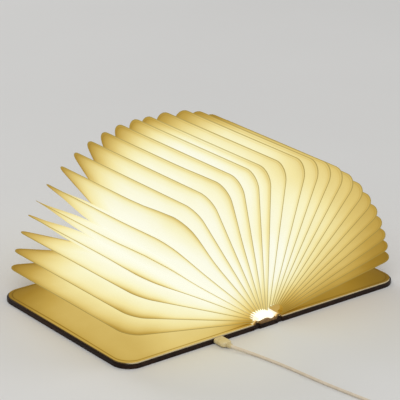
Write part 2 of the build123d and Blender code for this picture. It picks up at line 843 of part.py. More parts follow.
with BuildPart() as far_plug_tongue:
    with BuildSketch(far_plane(shell_start)):
        with Locations((0, usb_shell_wall - usb_shell_height / 2)):
            Rectangle(
                usb_shell_width - 2 * usb_shell_wall - 2 * usb_tongue_side,
                usb_tongue_t,
                align=(Align.CENTER, Align.MIN),
            )
    extrude(amount=usb_shell_length - usb_tongue_side)
save(far_plug_tongue.part, "far_plug_tongue")
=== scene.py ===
"""Looks of the folding book lamp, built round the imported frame.

Metres, in the CAD's frame: X across the open book, Y along the spine, Z up, origin on the
table under the middle of the spine.
"""

import json
from functools import partial
from math import cos, pi, radians, sin, tan

import bmesh
import bpy
import numpy as np
from mathutils import Matrix, Vector


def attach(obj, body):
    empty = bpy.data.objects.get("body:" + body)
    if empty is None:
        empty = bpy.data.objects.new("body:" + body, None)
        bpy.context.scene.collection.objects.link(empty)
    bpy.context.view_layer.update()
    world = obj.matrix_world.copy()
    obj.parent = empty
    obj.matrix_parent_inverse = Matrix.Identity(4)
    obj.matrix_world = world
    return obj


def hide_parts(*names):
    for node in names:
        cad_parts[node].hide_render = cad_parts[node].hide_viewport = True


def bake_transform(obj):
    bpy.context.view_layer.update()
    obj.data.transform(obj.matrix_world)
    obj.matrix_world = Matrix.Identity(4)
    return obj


MM = 0.001

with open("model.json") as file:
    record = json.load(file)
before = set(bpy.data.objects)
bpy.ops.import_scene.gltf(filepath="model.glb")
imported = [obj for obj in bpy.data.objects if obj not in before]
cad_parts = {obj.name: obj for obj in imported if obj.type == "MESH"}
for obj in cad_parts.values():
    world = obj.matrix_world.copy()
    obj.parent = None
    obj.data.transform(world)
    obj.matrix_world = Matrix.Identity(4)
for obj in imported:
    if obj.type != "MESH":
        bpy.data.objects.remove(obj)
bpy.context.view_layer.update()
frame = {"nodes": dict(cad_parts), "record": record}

# ---- sizes repeated from the CAD source, in millimetres ------------------------------
COVER_LENGTH = 215.0
COVER_WIDTH = 165.0
BOARD_T = 5.0
HINGE_GAP = 2.75
HINGE_X = 15.0
HINGE_Z = 2.5
LINING_TOP = 6.0
# angles between neighbouring leaves: from upright out to the cover
FAN_GAPS = {
    -1: (1.0, 5.6, 6.8, 6.6, 6.4, 6.6, 7.0, 8.0, 6.8, 5.6, 6.4, 6.8, 6.2, 10.2),
    1: (6.3, 9.0, 6.7, 6.5, 6.6, 6.5, 6.6, 6.6, 6.1, 5.6, 5.6, 4.9, 4.6, 8.4),
}
LEAVES_PER_SIDE = 13
PAPER_T = 0.3
FORE_MARGIN = 1.8
END_MARGIN = 2.2
LEAF_REACH = HINGE_GAP + COVER_WIDTH - FORE_MARGIN
LEAF_HALF = COVER_LENGTH / 2 - END_MARGIN
LEAF_CORNER = 18.0
SEAM_WIDTH = 3.0
VALLEY_FORE = 46.0
VALLEY_END = 44.0
VALLEY_SPINE = 6.0
VALLEY_CORNER = 16.0
BAR_BASE = 6.2
BAR_OUTER = 9.35
PAPER_TO_BAR = 0.8
STACK_BASE = LINING_TOP - HINGE_Z + PAPER_T
LEAF_PITCH = (HINGE_X - STACK_BASE) / (LEAVES_PER_SIDE + 0.5)
CORD_D = 3.0


# ---- camera --------------------------------------------------------------------------
def make_camera():
    """Camera at the photograph's angle, with its slight roll and long lens."""
    data = bpy.data.cameras.new("camera")
    data.lens = 182.477
    data.sensor_width = 36.0
    data.clip_start = 0.1
    data.clip_end = 100.0
    camera = bpy.data.objects.new("camera", data)
    right = Vector((0.77719919, -0.62869014, 0.02664823))
    up = Vector((0.21037396, 0.29951411, 0.93060953))
    back = Vector((-0.59304656, -0.71766287, 0.36504216))
    turn = Matrix((right, up, back)).transposed().to_4x4()
    camera.matrix_world = Matrix.Translation((-1.2441442, -1.49813138, 0.86594016)) @ turn
    bpy.context.scene.collection.objects.link(camera)
    bpy.context.scene.camera = camera


make_camera()


# ---- node helpers --------------------------------------------------------------------
class Nodes:
    """Short way to make and link the nodes of a material, or of a new one by its name."""

    def __init__(self, material):
        if isinstance(material, str):
            material = bpy.data.materials.new(material)
            material.use_nodes = True
        self.material = material
        self.tree = material.node_tree
        self.shader = self.tree.nodes["Principled BSDF"]
        self.coords = self.add("ShaderNodeTexCoord").outputs["Object"]

    def add(self, kind, **settings):
        node = self.tree.nodes.new(kind)
        for key, value in settings.items():
            setattr(node, key, value)
        return node

    def link(self, source, target):
        self.tree.links.new(source, target)

    def mapped(self, scale):
        """Object coordinates stretched by scale."""
        mapping = self.add("ShaderNodeMapping")
        mapping.inputs["Scale"].default_value = scale
        self.link(self.coords, mapping.inputs["Vector"])
        return mapping.outputs["Vector"]

    def noise(self, vector, scale, detail=4.0, roughness=0.5, distortion=0.0):
        node = self.add("ShaderNodeTexNoise")
        node.inputs["Scale"].default_value = scale
        node.inputs["Detail"].default_value = detail
        node.inputs["Roughness"].default_value = roughness
        node.inputs["Distortion"].default_value = distortion
        self.link(vector, node.inputs["Vector"])
        return node.outputs["Fac"]

    def ramp(self, value, stops):
        """Colour ramp through (position, colour) stops."""
        node = self.add("ShaderNodeValToRGB")
        elements = node.color_ramp.elements
        while len(elements) < len(stops):
            elements.new(0.5)
        for element, (position, colour) in zip(elements, stops):
            element.position = position
            element.color = (*colour, 1.0)
        self.link(value, node.inputs["Fac"])
        return node.outputs["Color"]

    def greys(self, value, stops):
        """Number through (position, number) stops."""
        return self.ramp(value, [(position, (level,) * 3) for position, level in stops])

    def math(self, operation, *values):
        """Result of an operation on sockets and plain numbers."""
        node = self.add("ShaderNodeMath", operation=operation)
        for target, value in zip(node.inputs, values):
            if isinstance(value, bpy.types.NodeSocket):
                self.link(value, target)
            else:
                target.default_value = value
        return node.outputs[0]

    def spread(self, value, low, high, from_low=0.0, from_high=1.0):
        """Value moved from one range to another, clamped."""
        node = self.add("ShaderNodeMapRange")
        for key, number in (
            ("From Min", from_low), ("From Max", from_high), ("To Min", low), ("To Max", high)
        ):
            node.inputs[key].default_value = number
        self.link(value, node.inputs["Value"])
        return node.outputs["Result"]

    def mix(self, factor, first, second, blend="MIX"):
        """Two colours mixed; each input is a socket or a plain value."""
        node = self.add("ShaderNodeMix", data_type="RGBA", blend_type=blend)
        for key, source in ((0, factor), (6, first), (7, second)):
            if isinstance(source, bpy.types.NodeSocket):
                self.link(source, node.inputs[key])
            elif key == 0:
                node.inputs[key].default_value = source
            else:
                node.inputs[key].default_value = (*source, 1.0)
        return node.outputs[2]

    def attribute(self, name):
        return self.add("ShaderNodeAttribute", attribute_name=name).outputs["Fac"]

    def bump(self, height, distance, strength):
        node = self.add("ShaderNodeBump")
        node.inputs["Strength"].default_value = strength
        node.inputs["Distance"].default_value = distance
        self.link(height, node.inputs["Height"])
        self.link(node.outputs["Normal"], self.shader.inputs["Normal"])

    def set(self, **values):
        """Plain values on the shader's own sockets; underscores stand for spaces."""
        for key, value in values.items():
            self.shader.inputs[key.replace("_", " ")].default_value = value


# ---- materials -----------------------------------------------------------------------
# in metres, as the nodes' coordinates are: how far from its cut edge the paper's painted
# shade changes, how far out the lining is lit, and half the book's length
EDGE_RANGE = 0.03
LINING_REACH = 0.16
HALF_LENGTH = COVER_LENGTH / 2 * MM


def paper_material():
    """Paper with painted glow from within, pale over the light and shaded golden to its rims.
    """
    n = Nodes("glowing_paper")
    fibre = n.noise(n.coords, 900.0, 6.0, 0.65)
    cloud = n.noise(n.coords, 22.0, 3.0, 0.5)
    glow = n.attribute("glow")
    rim = n.spread(n.attribute("rim"), 0.0, 1.0, 0.0, EDGE_RANGE)
    # painted shade: the sheet that faces the spine is the paler one, the one on the cover's
    # side darker; both dip in a line of painted shade where the glued rim ends
    spine_sheet_shade = n.greys(rim, [
        (0.03, 0.90), (0.095, 0.88), (0.103, 0.80), (0.12, 0.93), (0.26, 0.98), (0.5, 1.0),
    ])
    cover_sheet_shade = n.greys(rim, [
        (0.03, 0.78), (0.095, 0.76), (0.103, 0.66), (0.12, 0.78), (0.27, 0.91), (0.55, 0.99),
        (1.0, 1.0),
    ])
    tone = n.math("MULTIPLY", glow, n.mix(n.attribute("under"), spine_sheet_shade, cover_sheet_shade))
    # painted shade: the endpapers get a dark line of shade behind their rim, all the others a
    # greyer line of painted shade at their cut edge
    crease = n.attribute("crease")
    line = n.greys(rim, [(0.096, 0.0), (0.108, 1.0), (0.132, 1.0), (0.150, 0.0)])
    seam_shade = n.math("MULTIPLY_ADD", n.math("MULTIPLY", line, crease), -0.42, 1.0)
    tone = n.math("MULTIPLY", tone, seam_shade)
    cut_edge_shade = n.greys(rim, [(0.0, 1.0), (0.022, 1.0), (0.040, 0.0)])
    cut_edge_shade = n.math("MULTIPLY", cut_edge_shade, n.math("MULTIPLY_ADD", crease, -1.0, 1.0))
    tone = n.mix(cut_edge_shade, tone, n.math("MULTIPLY_ADD", glow, 0.36, 0.25))
    varied = n.math("ADD", tone, n.spread(cloud, -0.015, 0.015, 0.3, 0.7))
    # painted light: the glow's level as colour, dark gold where little light shows through,
    # pale cream where most does
    lit = n.ramp(varied, [
        (0.00, (0.115, 0.058, 0.005)),
        (0.15, (0.205, 0.115, 0.010)),
        (0.30, (0.376, 0.223, 0.026)),
        (0.45, (0.577, 0.392, 0.084)),
        (0.60, (0.775, 0.604, 0.205)),
        (0.75, (0.920, 0.815, 0.402)),
        (0.88, (0.970, 0.935, 0.625)),
        (1.00, (0.985, 0.985, 0.840)),
    ])
    # painted orange light close to the bar
    lit = n.mix(n.attribute("warm_light"), lit, n.mix(1.0, lit, (0.92, 0.78, 0.42), "MULTIPLY"))
    # painted shade: a greyer tint along the cut edge
    lit = n.mix(cut_edge_shade, lit, n.mix(1.0, lit, (0.74, 0.79, 0.92), "MULTIPLY"))
    specks = n.spread(fibre, 0.0, 0.10, 0.40, 0.75)
    lit_and_speckled = n.mix(specks, lit, (0.72, 0.55, 0.25), "MULTIPLY")
    # the painted light and shade go out as emission, and at 0.18 of their level into the base
    # colour
    own = n.mix(1.0, lit_and_speckled, (0.18, 0.18, 0.18), "MULTIPLY")
    n.link(own, n.shader.inputs["Base Color"])
    n.link(lit_and_speckled, n.shader.inputs["Emission Color"])
    n.set(Emission_Strength=0.82, Roughness=0.85, Specular_IOR_Level=0.12)
    n.bump(fibre, 0.00012, 0.35)
    return n.material


def wood_material():
    """Dark walnut with long grain along the book and satin lacquer."""
    n = Nodes("dark_walnut")
    rings = n.noise(n.mapped((60, 3.2, 60)), 2.0, 8.0, 0.6, 1.4)
    pores = n.noise(n.mapped((900, 30, 900)), 1.0, 3.0, 0.6)
    tone = n.ramp(rings, [
        (0.25, (0.006, 0.0026, 0.0018)),
        (0.45, (0.015, 0.006, 0.0036)),
        (0.62, (0.028, 0.012, 0.006)),
        (0.80, (0.010, 0.0042, 0.0024)),
    ])
    grained = n.mix(n.spread(pores, 0.0, 0.75, 0.52, 0.70), tone, (0.006, 0.003, 0.002))
    n.link(grained, n.shader.inputs["Base Color"])
    n.link(n.spread(rings, 0.34, 0.52), n.shader.inputs["Roughness"])
    n.set(Specular_IOR_Level=0.14)
    n.bump(pores, 0.00012, 0.5)
    return n.material


def mottled(name, dark, light, scale, roughness, bump=0.0, stretch=(1, 1, 1), **values):
    """Surface whose colour and roughness wander between two values."""
    n = Nodes(name)
    vector = n.mapped(stretch)
    broad = n.noise(vector, scale, 5.0, 0.55)
    fine = n.noise(vector, scale * 9.0, 3.0, 0.6)
    tone = n.mix(n.spread(broad, 0.0, 1.0, 0.3, 0.7), dark, light)
    n.link(tone, n.shader.inputs["Base Color"])
    n.link(n.spread(fine, *roughness, 0.3, 0.7), n.shader.inputs["Roughness"])
    n.set(**values)
    if bump:
        n.bump(fine, bump, 0.6)
    return n.material


def cloth_material():
    """Bookbinder's cloth, woven fine."""
    n = Nodes("binding_cloth")
    warp = n.add("ShaderNodeTexWave", wave_type="BANDS", bands_direction="X")
    weft = n.add("ShaderNodeTexWave", wave_type="BANDS", bands_direction="Y")
    for wave in (warp, weft):
        wave.inputs["Scale"].default_value = 320.0
        wave.inputs["Distortion"].default_value = 0.6
        n.link(n.coords, wave.inputs["Vector"])
    weave = n.mix(0.5, warp.outputs["Color"], weft.outputs["Color"], "MULTIPLY")
    tone = n.mix(weave, (0.010, 0.006, 0.004), (0.034, 0.019, 0.012))
    n.link(tone, n.shader.inputs["Base Color"])
    n.set(Roughness=0.9, Specular_IOR_Level=0.2)
    n.bump(weave, 0.0002, 0.6)
    return n.material


def opal_material():
    """Opal plastic lit from inside, a little uneven."""
    n = Nodes("lit_opal")
    cloud = n.noise(n.coords, 60.0, 3.0, 0.5)
    tone = n.mix(n.spread(cloud, 0.0, 1.0, 0.3, 0.7), (1.0, 0.93, 0.68), (1.0, 0.98, 0.84))
    n.link(tone, n.shader.inputs["Emission Color"])
    n.link(n.mix(1.0, tone, (0.5, 0.5, 0.5), "MULTIPLY"), n.shader.inputs["Base Color"])
    n.set(Emission_Strength=1.0, Roughness=0.45)
    n.bump(n.noise(n.coords, 700.0, 2.0), 0.00004, 0.4)
    return n.material


paper = paper_material()
wood = wood_material()
opal = opal_material()
cloth = cloth_material()


def beside_light(material, axis, reach, stops):
    """Add the light that a surface beside the bar throws back, by its place along axis."""
    n = Nodes(material)
    place = n.add("ShaderNodeSeparateXYZ")
    n.link(n.coords, place.inputs["Vector"])
    share = n.spread(n.math("ABSOLUTE", place.outputs[axis]), 0.0, 1.0, 0.0, reach)
    lit = n.ramp(share, stops)
    if axis == "X":
        # a lining is lit and shaded under the leaves, and plain card at its ends
        along = n.spread(n.math("ABSOLUTE", place.outputs["Y"]), 0.0, 1.0, 0.0, HALF_LENGTH)
        covered = n.greys(along, [(0.93, 1.0), (0.965, 0.0)])
        lit = n.mix(1.0, lit, covered, "MULTIPLY")
        own = n.shader.inputs["Base Color"].links[0].from_socket
        n.link(
            n.mix(covered, own, n.mix(1.0, own, (0.20, 0.15, 0.08), "MULTIPLY")),
            n.shader.inputs["Base Color"],
        )
    n.link(lit, n.shader.inputs["Emission Color"])
    n.set(Emission_Strength=0.9)
    return material


LEATHER = ((0.13, 0.065, 0.018), (0.22, 0.12, 0.036), 240.0, (0.5, 0.66), 0.0001)

card = beside_light(mottled(
    "lining_card", (0.66, 0.55, 0.33), (0.76, 0.66, 0.42), 70.0, (0.72, 0.88), 0.00008
), "X", LINING_REACH, [
    (0.105, (1.0, 0.98, 0.84)),
    (0.120, (0.45, 0.30, 0.08)),
    (0.34, (0.40, 0.27, 0.07)),
    (0.96, (0.45, 0.30, 0.07)),
    (1.00, (0.0, 0.0, 0.0)),
])
cable_skin = mottled(
    "cable_skin", (0.66, 0.56, 0.42), (0.74, 0.64, 0.50), 160.0, (0.42, 0.56), 0.00003
)
plug_skin = mottled(
    "plug_skin", (0.62, 0.51, 0.27), (0.72, 0.61, 0.35), 240.0, (0.36, 0.5), 0.00003
)
leather = mottled("spine_leather", *LEATHER)
lit_leather = beside_light(mottled("lit_leather", *LEATHER), "Y", HALF_LENGTH, [
    (0.0, (1.0, 0.97, 0.80)),
    (0.945, (1.0, 0.97, 0.80)),
    (0.965, (0.80, 0.55, 0.16)),
    (0.98, (0.0, 0.0, 0.0)),
])
slot_materials = {
    "paper": paper,
    "wood": wood,
    "card": card,
    "cloth": cloth,
    "opal": opal,
    "cable": cable_skin,
    # the tray's emission is painted warm light from the bar
    "aluminium": mottled(
        "lit_drawn_aluminium", (0.62, 0.62, 0.63), (0.74, 0.74, 0.75), 90.0, (0.28, 0.42),
        0.00003, (1, 0.05, 1), Metallic=1.0, Emission_Color=(1.0, 0.90, 0.62, 1.0),
        Emission_Strength=0.45,
    ),
    "board": mottled(
        "solder_mask", (0.72, 0.73, 0.71), (0.80, 0.81, 0.78), 220.0, (0.3, 0.42), 0.00002
    ),
    "led": mottled(
        "phosphor", (0.85, 0.66, 0.20), (0.93, 0.76, 0.30), 800.0, (0.35, 0.5), 0.00003
    ),
    "screw": mottled(
        "zinc_plate", (0.50, 0.50, 0.51), (0.66, 0.66, 0.67), 500.0, (0.25, 0.42), 0.00002,
        Metallic=1.0,
    ),
    "cell": mottled(
        "foil_pouch", (0.50, 0.51, 0.53), (0.62, 0.63, 0.65), 60.0, (0.3, 0.5), 0.0001
    ),
    "contact_steel": mottled(
        "nickel_plate", (0.58, 0.58, 0.58), (0.70, 0.70, 0.69), 300.0, (0.2, 0.36), 0.00002,
        Metallic=1.0,
    ),
    "chip": mottled(
        "moulded_chip", (0.015, 0.015, 0.016), (0.035, 0.035, 0.036), 900.0, (0.5, 0.7),
        0.00002,
    ),
    "ribbon": mottled(
        "flat_ribbon", (0.72, 0.70, 0.66), (0.84, 0.82, 0.78), 400.0, (0.4, 0.55), 0.00005,
        (1, 8, 1),
    ),
    "magnet": mottled(
        "nickel_magnet", (0.60, 0.60, 0.61), (0.74, 0.74, 0.75), 200.0, (0.12, 0.28), 0.00002,
        Metallic=1.0,
    ),
    "tie": mottled(
        "soft_tie", (0.62, 0.61, 0.58), (0.72, 0.71, 0.68), 300.0, (0.55, 0.7), 0.00004
    ),
    "white_plastic": mottled(
        "white_plastic", (0.72, 0.72, 0.70), (0.80, 0.80, 0.78), 300.0, (0.35, 0.5), 0.00002
    ),
}
for subpart in frame["record"]["subparts"]:
    node = frame["nodes"][subpart["node"]]
    node.data.materials.clear()
    node.data.materials.append(slot_materials[subpart["material_slot"]])


# ---- floor and light -----------------------------------------------------------------
FLOOR_HALF = 12.0
FLOOR_STEPS = 8


def make_stage():
    """Plain pale floor, three large soft lamps and a pale world."""
    n = Nodes("pale_floor")
    cloud = n.noise(n.coords, 3.0, 4.0, 0.5)
    tone = n.mix(cloud, (0.72, 0.715, 0.70), (0.76, 0.755, 0.74))
    n.link(tone, n.shader.inputs["Base Color"])
    n.set(Roughness=0.7)
    n.bump(n.noise(n.coords, 400.0, 3.0), 0.0001, 0.2)
    mesh = bpy.data.meshes.new("floor")
    grid = np.linspace(-FLOOR_HALF, FLOOR_HALF, FLOOR_STEPS + 1)
    row = len(grid)
    faces = [
        (j * row + i, j * row + i + 1, (j + 1) * row + i + 1, (j + 1) * row + i)
        for j in range(FLOOR_STEPS) for i in range(FLOOR_STEPS)
    ]
    mesh.from_pydata([(x, y, 0.0) for y in grid for x in grid], [], faces)
    mesh.materials.append(n.material)
    floor = bpy.data.objects.new("floor", mesh)
    bpy.context.scene.collection.objects.link(floor)

    target = Vector((0, 0, 0.05))
    for name, place, size, watts in (
        ("key", (-1.6, -1.6, 2.2), 1.8, 34.0),
        ("fill", (2.2, -1.2, 1.6), 1.8, 15.0),
        ("back", (0.4, 2.4, 2.0), 1.6, 18.0),
    ):
        data = bpy.data.lights.new(name, "AREA")
        data.shape = "DISK"
        data.size = size
        data.energy = watts
        lamp = bpy.data.objects.new(name, data)
        lamp.location = place
        aim = target - Vector(place)
        lamp.rotation_euler = aim.to_track_quat("-Z", "Y").to_euler()
        bpy.context.scene.collection.objects.link(lamp)

    world = bpy.data.worlds.new("studio")
    world.use_nodes = True
    background = world.node_tree.nodes["Background"]
    background.inputs["Color"].default_value = (1.0, 1.0, 1.0, 1.0)
    background.inputs["Strength"].default_value = 0.42
    bpy.context.scene.world = world
    bpy.context.scene.view_settings.view_transform = "Standard"


make_stage()


# ---- mesh helpers --------------------------------------------------------------------
def add_tube(name, rings, material, attributes=None, sharp=35.0):
    """Closed tube through rings of points in millimetres, capped at both ends.

    It is smooth but for edges sharper than sharp, in degrees.
    """
    rings = np.asarray(rings)
    count, around = rings.shape[:2]
    faces = []
    for r in range(count - 1):
        for k in range(around):
            following = (k + 1) % around
            faces.append((
                r * around + k,
                r * around + following,
                (r + 1) * around + following,
                (r + 1) * around + k,
            ))
    faces.append(tuple(reversed(range(around))))
    faces.append(tuple(range((count - 1) * around, count * around)))
    mesh = bpy.data.meshes.new(name)
    mesh.from_pydata([tuple(p) for p in rings.reshape(-1, 3) * MM], [], faces)
    for key, values in (attributes or {}).items():
        layer = mesh.attributes.new(key, "FLOAT", "POINT")
        layer.data.foreach_set("value", np.asarray(values, np.float32))
    mesh.materials.append(material)
    mesh.validate()
    shell = bmesh.new()
    shell.from_mesh(mesh)
    bmesh.ops.recalc_face_normals(shell, faces=shell.faces)
    shell.to_mesh(mesh)
    shell.free()
    mesh.shade_smooth()
    mesh.set_sharp_from_angle(angle=radians(sharp))
    obj = bpy.data.objects.new(name, mesh)
    bpy.context.scene.collection.objects.link(obj)
    return obj


# ---- paper fan -----------------------------------------------------------------------
# Each piece of paper here is one fold: the sheet from the rim of a leaf down to the
# valley that it shares with the next leaf, and up to that leaf's rim.
ACROSS = 11
CORNER_STEPS = 8
FORE_STEPS = 4
# a sheet's inner surface: how far under the outer one, and how far inwards at the valley
SKIN = 0.27
INNER_SHIFT = 0.12
# each fold's bend is as wide as the fold is this far out
BEND_REACH = 70.0
# how far the near corners of some leaves have warped off their plane, towards the spine
WARPS = {(-1, 4): 2.2, (-1, 7): 5.0, (-1, 8): 1.4, (-1, 9): 2.2, (-1, 10): -1.5}
WARP_SPREAD = 34.0
# shadows beside some rims, on the cover's side (-1) or the spine's (1): how dark they are at
# the near corner, how dark elsewhere, and how close they keep to the rim
SHADOWS = {
    (-1, 4): (-1, 0.14, 0.0, 2),
    (-1, 7): (-1, 0.32, 0.0, 2),
    (-1, 8): (-1, 0.12, 0.0, 2),
    (-1, 9): (1, 0.56, 0.03, 6),
    (-1, 10): (1, 0.58, 0.05, 4),
    (-1, 11): (1, 0.54, 0.08, 3.5),
    (-1, 12): (1, 0.50, 0.12, 3.5),
    (-1, 13): (1, 0.44, 0.14, 3.5),
}
NO_SHADOW = (1, 0.0, 0.0, 2)


def leaf_path(inner_end):
    """Rim and valley points round the three outer sides of a leaf, in its own plane."""
    seam_x = LEAF_REACH - LEAF_CORNER
    seam_y = -LEAF_HALF + LEAF_CORNER
    valley_x = LEAF_REACH - VALLEY_FORE - VALLEY_CORNER
    valley_y = -LEAF_HALF + VALLEY_END + VALLEY_CORNER
    rims, valleys = [], []
    for share in (0.0, 0.012, 0.028, 0.06, *np.linspace(0.12, 0.93, 10)):
        rims.append((inner_end + (seam_x - inner_end) * share, -LEAF_HALF))
        valleys.append((
            inner_end + (valley_x - inner_end) * share,
            -LEAF_HALF + VALLEY_SPINE + (VALLEY_END - VALLEY_SPINE) * share,
        ))
    for step in range(CORNER_STEPS + 1):
        turn = pi / 2 * step / CORNER_STEPS
        rims.append((seam_x + LEAF_CORNER * sin(turn), seam_y - LEAF_CORNER * cos(turn)))
        valleys.append((
            valley_x + VALLEY_CORNER * sin(turn), valley_y - VALLEY_CORNER * cos(turn)
        ))
    # along the fore edge, up to its middle
    for step in range(1, FORE_STEPS + 1):
        share = step / FORE_STEPS
        rims.append((LEAF_REACH, seam_y * (1 - share)))
        valleys.append((LEAF_REACH - VALLEY_FORE, valley_y * (1 - share)))
    rims, valleys = np.array(rims), np.array(valleys)
    flip = np.array([1, -1])
    return np.vstack([rims, rims[-2::-1] * flip]), np.vstack([valleys, valleys[-2::-1] * flip])


def inner_reach(offset):
    """Where a leaf with this offset starts, clear of the light bar in the shut book."""
    from_middle = HINGE_X - offset
    rise = max(BAR_OUTER**2 - from_middle**2, 0.0) ** 0.5
    return BAR_BASE - HINGE_Z + rise + PAPER_TO_BAR


class Leaf:
    """Plane of one leaf: tilt from upright towards its cover, offset from the hinge axis."""

    def __init__(self, side, tilt, offset, reach_offset=None, warp=0.0, shadow=NO_SHADOW):
        self.tilt = tilt
        self.offset = offset
        self.warp = warp
        self.shadow = shadow
        self.out = np.array([side * sin(radians(tilt)), 0, cos(radians(tilt))])
        self.normal = np.array([-side * cos(radians(tilt)), 0, sin(radians(tilt))])
        self.origin = np.array([side * HINGE_X, 0, HINGE_Z]) + self.normal * offset
        self.start = inner_reach(offset if reach_offset is None else reach_offset)

    def place(self, flat, height):
        """Points of the plane raised by height along its normal."""
        flat = np.asarray(flat)
        height = np.broadcast_to(np.asarray(height, float), flat.shape[:-1])
        return (
            self.origin
            + flat[..., :1] * self.out
            + flat[..., 1:] * np.array([0, 1, 0])
            + height[..., None] * self.normal
        )


def numbered_leaf(side, number):
    """Leaf by its number, from the spine out to its cover."""
    return Leaf(
        side,
        sum(FAN_GAPS[side][:number]),
        HINGE_X - LEAF_PITCH * (number - 0.5),
        warp=WARPS.get((side, number), 0.0),
        shadow=SHADOWS.get((side, number), NO_SHADOW),
    )


def half_gap(x, offset, middle, half_turn):
    """Height over a leaf's plane of the plane halfway to its neighbour, at reach x."""
    slope = tan(radians(half_turn))
    return x * slope + abs(middle / cos(radians(half_turn)) - offset)


def sheet_surface(leaf, toward, gap_of):
    """Outer and inner surface of one sheet, from its rim to the valley.

    toward is +1 for the sheet on the side of the spine and -1 for the cover's side.
    Returns two arrays of shape (along, across, 3), and each point's distance from the rim
    and depth of shadow.
    """
    rims, valleys = leaf_path(leaf.start)
    span = valleys - rims
    depth = np.linalg.norm(span, axis=1)
    inward = span / depth[:, None]
    corner = (LEAF_REACH - LEAF_CORNER, LEAF_CORNER - LEAF_HALF)
    away = np.linalg.norm(rims - corner, axis=1)
    near_corner = np.exp(-((away / WARP_SPREAD) ** 2))
    warp = leaf.warp * near_corner
    shadow_side, at_corner, elsewhere, closeness = leaf.shadow
    shadow = (at_corner * near_corner**2 + elsewhere) * (toward == shadow_side)
    rise = gap_of(valleys[:, 0]) - PAPER_T
    # across the sheet: close steps over the glued rim, then even ones
    glued = [0.0, 0.9, 1.9, SEAM_WIDTH]
    shares = np.linspace(0, 1, ACROSS - len(glued) + 1)[1:]
    outer, inner, distance, crescent = [], [], [], []
    for step in range(ACROSS):
        share = 0.0 if step < len(glued) else shares[step - len(glued)]
        start = np.minimum(glued[min(step, len(glued) - 1)], depth * 0.4)
        reach = start + (depth - start) * share
        flat = rims + inward * reach[:, None]
        lift = PAPER_T + rise * sin(pi / 2 * share) ** 1.5
        lean = warp * (1 - share)
        outer.append(leaf.place(flat, toward * lift + lean))
        inner.append(leaf.place(
            flat + inward * INNER_SHIFT * share, toward * (lift - SKIN) + lean
        ))
        distance.append(reach)
        crescent.append(shadow * (1 - share) ** closeness)
    return [np.stack(rows, axis=1) for rows in (outer, inner, distance, crescent)]


def glow_of(points, inside, crescent):
    """Painted glow: how hot the paper glows, 0 to 1 and beyond, by its place on the lamp."""
    x, y, z = points[..., 0], points[..., 1], points[..., 2] - LINING_TOP
    angle = np.degrees(np.arctan2(np.maximum(z, 0.0), x))
    reach = np.hypot(x, z)
    around = np.interp(
        angle,
        [0, 4, 12, 21, 33, 45, 58, 72, 85, 110, 150, 160, 167, 175, 180],
        [0.31, 0.37, 0.51, 0.62, 0.72, 0.81, 0.88, 0.95, 0.97, 0.98, 1.02, 0.94, 0.85, 0.66,
         0.60],
    )
    stops = [12, 20, 35, 50, 70, 110, 130, 145, 168, 182]
    front = np.interp(reach, stops, [0.60, 0.68, 0.84, 0.95, 1.0, 1.0, 1.0, 0.98, 0.94, 0.90])
    back = np.interp(reach, stops, [0.60, 0.70, 0.88, 1.0, 1.0, 0.98, 0.90, 0.80, 0.72, 0.66])
    share = np.clip((x + 20) / 40, 0, 1)
    along = front + (back - front) * share
    # painted shade, darker towards the head corners
    head = np.interp(y, [20, 30, 60, 85, 105], [1.0, 0.98, 0.80, 0.58, 0.46])
    head = 1 + (head - 1) * np.interp(reach, [70, 140], [0, 1])
    # brighter close over the bar
    near = np.interp(np.abs(angle - 90), [0, 40, 62], [0.22, 0.16, 0.0])
    near = near * np.interp(reach, [15, 60, 95], [1.0, 0.65, 0.0])
    # painted light: the fore edge is paler along the top of the fan
    crown = np.interp(angle, [60, 74, 84, 92, 104, 118], [0.0, 0.18, 0.12, 0.22, 0.06, 0.0])
    crown = crown * np.interp(reach, [125, 160], [0, 1])
    crown = crown * np.interp(y, [-98, -35, 10, 70], [0.0, 1.0, 1.0, 0.6])
    glow = (around * along + near + crown) * head * (1 - crescent)
    # painted shade: the lowest leaves are duller towards their fore edge
    front_low = np.interp(angle, [167, 175], [0, 1]) * np.interp(reach, [110, 150], [0, 0.14])
    back_low = np.interp(angle, [6, 16], [1, 0]) * np.interp(reach, [110, 160], [0, 0.16])
    glow = glow * (1 - front_low) * (1 - back_low)
    # painted light inside the fan, white near the bar, but painted shade on the low ends of the
    # back leaves
    shaded = np.interp(x, [12, 17], [0.0, 1.0]) * np.interp(reach, [26, 44], [1.0, 0.0])
    shaded *= np.interp(angle, [48, 62], [1.0, 0.0])
    close = np.interp(reach, [34, 60], [1.0, 0.0])
    lit_inside = glow + (np.maximum(glow * 1.5, 1.1) - glow) * close
    glow = np.where(inside, lit_inside + (0.50 - lit_inside) * shaded, glow)
    # the cut ends at the tail catch the light, up to the same back leaves
    glow[0] = np.where(x[0] < 10, np.maximum(glow[0], 1.05), glow[0])
    return np.clip(glow, 0.0, 1.9)


def warm_light_of(points):
    """How much painted orange light the paper shows close to the light, low down on both sides.
    """
    x, z = points[..., 0], points[..., 2] - LINING_TOP
    angle = np.degrees(np.arctan2(np.maximum(z, 0.0), x))
    near = np.interp(np.hypot(x, z), [14, 30, 62], [1.0, 0.75, 0.0])
    return near * np.interp(np.abs(angle - 90), [20, 66, 90], [0.05, 0.75, 1.0])


